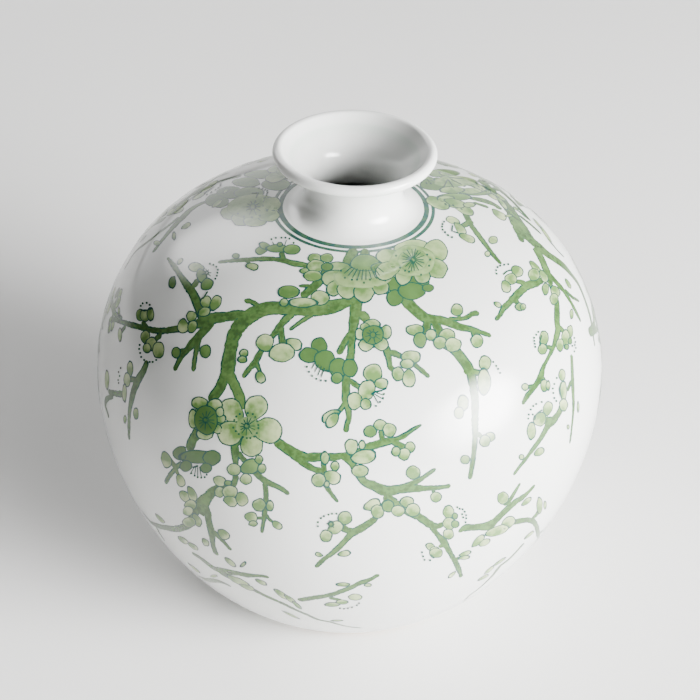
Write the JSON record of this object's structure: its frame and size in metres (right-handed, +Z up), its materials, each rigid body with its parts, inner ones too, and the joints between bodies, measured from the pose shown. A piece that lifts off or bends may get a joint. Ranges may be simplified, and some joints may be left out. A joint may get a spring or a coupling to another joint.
{
  "type": "globular vase",
  "caption": "Globular porcelain vase with a short narrow neck, a flared mouth with a rolled rim and a low bare foot ring.",
  "frame": {"origin": "centre of the foot, on the plane that the vase stands on", "axes": "+Z up along the axis the vase is turned on"},
  "size_m": [0.255, 0.255, 0.2454],
  "materials": {
    "glazed_porcelain": "clear glossy glaze over white porcelain, painted in green",
    "bare_porcelain": "fired body without glaze, slightly rough"
  },
  "bodies": {
    "root": {"foot_ring": "bare_porcelain", "lower_body": "glazed_porcelain", "upper_body": "glazed_porcelain", "neck_and_mouth": "glazed_porcelain"}
  },
  "joints": []
}
